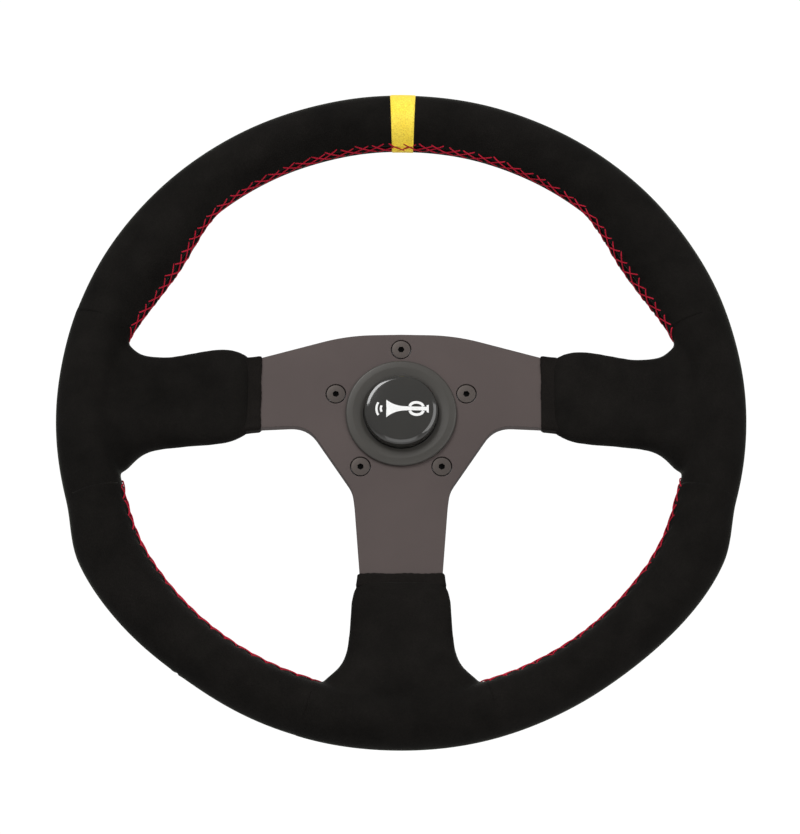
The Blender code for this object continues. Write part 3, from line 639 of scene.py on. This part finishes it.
def flat_plate(name, outlines, low, high, mat, chamfer=0.35, **kw):
    """Plate with holes, cut from outlines and chamfered."""
    curve = bpy.data.curves.new(name, "CURVE")
    curve.dimensions, curve.fill_mode = "2D", "BOTH"
    curve.extrude = ((high - low) / 2 - chamfer) * MM
    curve.bevel_depth, curve.bevel_resolution, curve.offset = chamfer * MM, 2, -chamfer * MM
    for outline in outlines:
        spline = curve.splines.new("POLY")
        spline.points.add(len(outline) - 1)
        for point, (x, y) in zip(spline.points, outline):
            point.co = (x * MM, y * MM, 0, 1)
        spline.use_cyclic_u = True
    temp = bpy.data.objects.new(name + "_curve", curve)
    bpy.context.scene.collection.objects.link(temp)
    graph = bpy.context.evaluated_depsgraph_get()
    mesh = bpy.data.meshes.new_from_object(temp.evaluated_get(graph))
    bpy.data.objects.remove(temp)
    co = coords_of(mesh) / MM
    co[:, 2] += (low + high) / 2
    faces = [tuple(p.vertices) for p in mesh.polygons]
    obj = make(name, co, faces, mat, **kw)
    smooth_by_angle(obj, 40)
    weigh = obj.modifiers.new("weigh", "WEIGHTED_NORMAL")
    weigh.keep_sharp, weigh.weight = True, 100
    return obj


def circle(r, centre=(0, 0), steps=64):
    turns = [2 * math.pi * i / steps for i in range(steps)]
    return [(centre[0] + r * math.cos(a), centre[1] + r * math.sin(a)) for a in turns]


plate_holes = [circle(CENTRE_HOLE_R, steps=96)] + [circle(SCREW_HOLE_R, s) for s in SCREW_SPOTS]
flat_plate("spoke_plate", [plate_outline()] + plate_holes,
           BACK, PLATE_FRONT, PLATE, replaces=["spoke_frame"], slot="plate_alloy")
lathe("rim_core_ring", [(154, BACK), (166, BACK), (166, PLATE_FRONT), (154, PLATE_FRONT)], PLATE, steps=180,
      slot="plate_alloy")

# ---------------------------------------------------------------- screws
HEX_R = 1.73
for i, spot in enumerate(SCREW_SPOTS):
    head = PLATE_FRONT - 0.15
    turns = [math.radians(60 * k + 11 * i) for k in range(6)]
    hexagon = [(HEX_R * math.cos(a), HEX_R * math.sin(a)) for a in turns]
    body = lathe(f"countersunk_screw_{i + 1}",
                 [(0, BACK - 9), (2.4, BACK - 9), (2.4, head - 2.7), (4.72, head - 0.5), (4.72, head),
                  (0, head)],
                 SCREW, steps=64, centre=spot, soften=0.22, replaces=[f"plate_screw_{i + 1}"],
                 slot="black_steel")
    loops = [[(spot[0] + x, spot[1] + y, n) for x, y in hexagon] for n in (head - 2.3, head + 1.5)]
    cutter = grid(f"hex_cut_{i}", loops, SOCKET_SHADE, body=None, smooth=False)
    mod = body.modifiers.new("hex", "BOOLEAN")
    mod.operation, mod.solver, mod.object = "DIFFERENCE", "EXACT", cutter
    graph = bpy.context.evaluated_depsgraph_get()
    body.data = bpy.data.meshes.new_from_object(body.evaluated_get(graph))
    body.modifiers.clear()
    bpy.data.objects.remove(cutter)
    body.data.materials.append(SOCKET_SHADE)
    for face in body.data.polygons:         # painted shade: the socket's walls and floor are near black
        c = body.matrix_world @ face.center
        off = math.hypot(c.x / MM - spot[0], c.z / MM - spot[1])
        if off < 1.8 and BACK < MID_Y - c.y / MM < head - 0.05:
            face.material_index = 1
    smooth_by_angle(body, 30)

# ---------------------------------------------------------------- horn button
seat = PLATE_FRONT + 0.3
lathe("horn_bezel_ring",
      [(19.15, seat), (28.3, seat), (28.3, seat + 0.9), (27.6, seat + 1.45), (24.5, seat + 1.75),
       (21.0, seat + 1.25), (19.15, seat + 0.65)], BEZEL, steps=160, soften=0.35,
      replaces=["horn_bezel"], slot="bezel")


def dome(r):
    """Height of the cap's face at a radius."""
    return 3.0 - 1.1 * (np.asarray(r, float) / 17.0) ** 2


face = [(r, float(dome(r))) for r in np.linspace(16.4, 0, 18)]
lathe("horn_cap_dome",
      [(0, -12.0), (18.7, -12.0), (18.7, -8.4), (22, -8.4), (22, -5.2), (18.7, -5.2), (18.7, 0.2),
       (18.45, 0.9), (17.75, 1.45), (17.15, 1.7)] + face, CAP, steps=160, soften=0.12,
      body="horn_button", replaces=["horn_cap"], slot="horn_cap")


def decal(name, outlines, thick=0.08):
    """Thin printed shapes laid on the cap's face."""
    pts, faces = [], []
    for outline in outlines:
        base = len(pts)
        top = [(x, y, float(dome(math.hypot(x, y))) + thick) for x, y in outline]
        low = [(x, y, float(dome(math.hypot(x, y))) - 0.1) for x, y in outline]
        n = len(outline)
        pts += top + low
        faces.append(tuple(base + i for i in range(n)))
        faces.append(tuple(base + n + i for i in reversed(range(n))))
        faces += [(base + i, base + n + i, base + n + (i + 1) % n, base + (i + 1) % n) for i in range(n)]
    return make(name, pts, faces, PRINT, body="horn_button", smooth=False, slot="horn_cap")


def band(points, half):
    """Outline of a stroke of even width."""
    p = np.array(points, float)
    tan = np.gradient(p, axis=0)
    tan /= np.linalg.norm(tan, axis=1)[:, None]
    nor = np.stack([-tan[:, 1], tan[:, 0]], -1) * half
    return [tuple(q) for q in np.concatenate([p + nor, (p - nor)[::-1]])]


bell_t = np.linspace(0, 1, 14)
bell_top = np.stack([3.0 - 10.5 * bell_t, 1.1 + 3.6 * bell_t ** 2.4], -1)
bell = [tuple(p) for p in np.concatenate([bell_top, (bell_top * [1, -1])[::-1]])]
tube_line = band([(x, 0.0) for x in np.linspace(2.9, 13.0, 8)], 1.0)
mouthpiece = [(12.9, 1.8), (14.0, 2.2), (14.0, -2.2), (12.9, -1.8)]
outlines = [bell, tube_line, mouthpiece]
for side in (1, -1):
    outlines.append(band([(7.8 + 3.4 * math.cos(t), side * (0.9 + 2.4 * math.sin(t)))
                          for t in np.linspace(0.1, math.pi - 0.1, 20)], 0.7))
for r, reach in ((2.4, 0.62), (4.6, 0.66)):
    outlines.append(band([(-7.9 - r * math.cos(t), r * math.sin(t) * 1.2)
                          for t in np.linspace(-reach, reach, 10)], 0.55))
decal("horn_pictogram", outlines)

# ---------------------------------------------------------------- quick release
# Radii about the axis, and depths behind the plate's back face.
FLANGE_R, FLANGE_D = 40.4, 8
POCKET_R, POCKET_D = 26, 12.3
NECK_R, WEB_D = 30, 15.3
BORE_R, BORE_D, SPLINE_D = 12.35, 16.5, 28.5
BARREL_R, BARREL_END = 16.8, 51
CLIP_BED_R, CLIP_NEAR, CLIP_FAR = 15.9, 48.5, 49.6
BALL_R, BALL_HOLE_R, BALL_RING_R, BALL_D = 3.0, 3.3, 15.3, 36
BALL_TURNS = [math.radians(60 * i + 30) for i in range(6)]
COLLAR_R, PULL_R, COLLAR_BORE_R, SPRING_ROOM_R = 25, 32, 17.15, 20.6
COLLAR_FROM, COLLAR_TO = 22, 40
FLUTES, FLUTE_R = 24, 1.1
NOSE_R, BASE_R, GROOVE_R, PILOT_R, QR_DEPTH = 12, 19, 10.2, 8.5, 65


def depth(d):
    return BACK - d


def cut(body, cutters, degrees=30):
    """Body with cutters taken away, keeping its materials."""
    for cutter in cutters:
        mod = body.modifiers.new("cut", "BOOLEAN")
        mod.operation, mod.solver, mod.object = "DIFFERENCE", "EXACT", cutter
    graph = bpy.context.evaluated_depsgraph_get()
    body.data = bpy.data.meshes.new_from_object(body.evaluated_get(graph))
    body.modifiers.clear()
    for cutter in cutters:
        bpy.data.objects.remove(cutter)
    smooth_by_angle(body, degrees)


def star(major, minor, teeth=12):
    """Outline of a straight-sided spline."""
    out = []
    for i in range(teeth):
        for turn, r in ((-0.32, minor), (-0.2, major), (0.2, major), (0.32, minor)):
            a = 2 * math.pi * (i + turn) / teeth
            out.append((r * math.cos(a), r * math.sin(a)))
    return out


def column(name, outline, low, high, mat=None, **kw):
    """Straight prism between two heights."""
    loops = [[(x, y, n) for x, y in outline] for n in (low, high)]
    return grid(name, loops, mat, smooth=False, **kw)


def across_axis(name, angle, radius, near, far, at, mat=None, steps=40):
    """Cylinder along a radius of the barrel."""
    c, s = math.cos(angle), math.sin(angle)
    loops = []
    for r in (near, far):
        ring = []
        for b in np.linspace(0, 2 * math.pi, steps, endpoint=False):
            side = radius * math.cos(b)
            ring.append((r * c - side * s, r * s + side * c, at + radius * math.sin(b)))
        loops.append(ring)
    return grid(name, loops, mat, body=None, smooth=False)


hub_piece = lathe("hub_machined_body", [
    (0, depth(POCKET_D)), (POCKET_R, depth(POCKET_D)), (POCKET_R, depth(0.3)), (FLANGE_R, depth(0.3)),
    (FLANGE_R, depth(FLANGE_D)), (NECK_R, depth(FLANGE_D)), (NECK_R, depth(WEB_D)), (BARREL_R, depth(WEB_D)),
    (BARREL_R, depth(48.2)), (CLIP_BED_R, depth(48.2)), (CLIP_BED_R, depth(49.8)), (BARREL_R, depth(49.8)),
    (BARREL_R, depth(BARREL_END)), (BORE_R, depth(BARREL_END)), (BORE_R, depth(SPLINE_D)),
    (0, depth(SPLINE_D))], HUB, steps=144, soften=0.35, replaces=["hub_body"], slot="hub_alloy")
cutters = [column("spline_cutter", star(12.25, 10.8), depth(29.5), depth(BORE_D), body=None)]
cutters += [column(f"flange_cutter_{i}", circle(2.7, s, 40), depth(-1), depth(10), body=None)
            for i, s in enumerate(SCREW_SPOTS)]
cutters += [across_axis(f"ball_cutter_{i}", turn, BALL_HOLE_R, 8, 22, depth(BALL_D))
            for i, turn in enumerate(BALL_TURNS)]
cut(hub_piece, cutters)

sleeve = lathe("release_sleeve", [
    (COLLAR_BORE_R, depth(28)), (COLLAR_BORE_R, depth(26)), (SPRING_ROOM_R, depth(26)),
    (SPRING_ROOM_R, depth(COLLAR_FROM)), (31, depth(COLLAR_FROM)), (PULL_R, depth(23)), (PULL_R, depth(26)),
    (31, depth(27)), (COLLAR_R, depth(28)), (COLLAR_R, depth(39)), (24, depth(COLLAR_TO)),
    (19.4, depth(COLLAR_TO))],
    COLLAR, steps=160, soften=0.3, body="release_collar", replaces=["release_collar"], slot="collar_alloy")
flutes = []
for i in range(FLUTES):
    a = math.radians(15 * i)
    spot = (32.6 * math.cos(a), 32.6 * math.sin(a))
    flutes.append(column(f"grip_flute_{i}", circle(FLUTE_R, spot, 20), depth(28), depth(21), body=None))
cut(sleeve, flutes)

for i, a in enumerate(BALL_TURNS):
    mid = np.array([BALL_RING_R * math.cos(a), BALL_RING_R * math.sin(a), depth(BALL_D)])
    rows = np.linspace(0, math.pi, 24)[:, None]
    turn = np.linspace(0, 2 * math.pi, 40, endpoint=False)[None, :]
    shape = np.stack([np.sin(rows) * np.cos(turn), np.sin(rows) * np.sin(turn), np.cos(rows) + 0 * turn], -1)
    grid(f"steel_ball_{i + 1}", mid + BALL_R * shape, STEEL, body=f"lock_ball_{i + 1}",
         replaces=[f"lock_ball_{i + 1}"], slot="bright_steel")

lathe("column_boss_turned", [
    (0, depth(QR_DEPTH)), (BASE_R, depth(QR_DEPTH)), (BASE_R, depth(52.6)), (18, depth(51.6)),
    (NOSE_R, depth(51.6)), (NOSE_R, depth(39.2)), (GROOVE_R, depth(37.6)), (GROOVE_R, depth(34.4)),
    (NOSE_R, depth(32.8)), (NOSE_R, depth(29.3)), (PILOT_R, depth(29.3)), (PILOT_R, depth(17.7)),
    (0, depth(17.7))], BLACK_STEEL, steps=144, soften=0.3, body="column_boss",
    replaces=["column_boss"], slot="black_steel")
column("column_boss_spline", star(11.85, 10.4), depth(30.1), depth(17.1), BLACK_STEEL, body="column_boss",
       slot="black_steel")

clip_rows = []
for turn in np.radians(np.linspace(12, 348, 100)):
    clip_rows.append([(r * math.cos(turn), r * math.sin(turn), depth(d))
                      for r, d in ((16.3, CLIP_FAR), (18.7, CLIP_FAR), (18.7, CLIP_NEAR), (16.3, CLIP_NEAR))])
smooth_by_angle(grid("snap_ring", clip_rows, BLACK_STEEL, replaces=["circlip"], slot="black_steel"))


def wound(name, node, radius, wire, low, high, turns, body):
    """Compression spring wound along the axis."""
    t = np.linspace(0, 2 * math.pi * turns, 60 * turns)
    rise = low + wire + (high - low - 2 * wire) * t / t[-1]
    pts, faces = sweep([np.stack([radius * np.cos(t), radius * np.sin(t), rise], -1)], wire, 12)
    make(name, pts, faces, STEEL, body=body, replaces=[node], slot="bright_steel")


wound("sleeve_spring", "collar_spring", 18.9, 0.7, depth(25.6), depth(15.6), 2, "wheel")
wound("button_spring", "horn_spring", 14.0, 0.6, BACK - 7.7, BACK - 2.3, 3, "horn_button")

CAD_FINISH = {
    "foam_front": FOAM, "foam_rear": FOAM, "horn_base": PLASTIC,
    "horn_terminal_1": BRASS, "horn_terminal_2": BRASS,
    "horn_contact": BRASS,
    **{f"pad_{f}_{w}": FOAM for f in ("front", "rear") for w in ("right", "left", "bottom")},
}
for node, mat in CAD_FINISH.items():
    data = frame["nodes"][node].data
    data.materials.clear()
    data.materials.append(mat)

# ---------------------------------------------------------------- stage, light, camera
floor_mat, nt, bsdf, co = shader("pale_floor", (0.82, 0.82, 0.82), 0.8)
nt.links.new(ramp(nt, noise(nt, co, 3, 2), [(0.3, (0.80, 0.80, 0.80)), (0.7, (0.84, 0.84, 0.84))]),
             bsdf.inputs["Base Color"])
REACH, FLOOR_Z = 6, -0.8
floor_corners = [(x * REACH, y * REACH, FLOOR_Z) for x, y in ((-1, -1), (1, -1), (1, 1), (-1, 1))]
floor = make("floor", floor_corners, [(0, 1, 2, 3)], floor_mat, body=None, raw=True)

sky = bpy.data.worlds.new("studio")
bpy.context.scene.world = sky
sky.use_nodes = True
wn = sky.node_tree
back = wn.nodes["Background"]
back.inputs["Color"].default_value = (1, 1, 1, 1)
back.inputs["Strength"].default_value = 0.35
seen = wn.nodes.new("ShaderNodeBackground")
seen.inputs["Color"].default_value = (1, 1, 1, 1)
seen.inputs["Strength"].default_value = 1.05
path_node = wn.nodes.new("ShaderNodeLightPath")
choose = wn.nodes.new("ShaderNodeMixShader")
wn.links.new(path_node.outputs["Is Camera Ray"], choose.inputs["Fac"])
wn.links.new(back.outputs["Background"], choose.inputs[1])
wn.links.new(seen.outputs["Background"], choose.inputs[2])
wn.links.new(choose.outputs["Shader"], wn.nodes["World Output"].inputs["Surface"])


def area(name, location, target, size, power):
    data = bpy.data.lights.new(name, "AREA")
    data.shape, data.size, data.energy = "SQUARE", size, power
    obj = bpy.data.objects.new(name, data)
    obj.location = location
    obj.rotation_euler = (Vector(target) - Vector(location)).to_track_quat("-Z", "Y").to_euler()
    bpy.context.scene.collection.objects.link(obj)


hub = (0, MID_Y * MM, 0)
area("key", (-0.9, -1.5, 1.5), hub, 1.2, 32)
area("fill", (1.4, -1.6, 0.3), hub, 1.4, 14)
area("under", (0.0, -1.3, -0.65), hub, 1.0, 3)
area("back", (0.2, 1.5, 1.3), hub, 1.5, 16)

cam_data = bpy.data.cameras.new("camera")
cam = bpy.data.objects.new("camera", cam_data)
bpy.context.scene.collection.objects.link(cam)
TILT, DISTANCE = math.radians(19.83), 1.507
cam.location = (0, hub[1] - DISTANCE * math.cos(TILT), -DISTANCE * math.sin(TILT))
cam.rotation_euler = (math.pi / 2 + TILT, 0, 0)
cam_data.lens, cam_data.sensor_width = 128.3, 36
cam_data.shift_x, cam_data.shift_y = -0.00135, -0.0080
cam_data.clip_end = 50
bpy.context.scene.camera = cam
bpy.context.scene.view_settings.view_transform = "Standard"
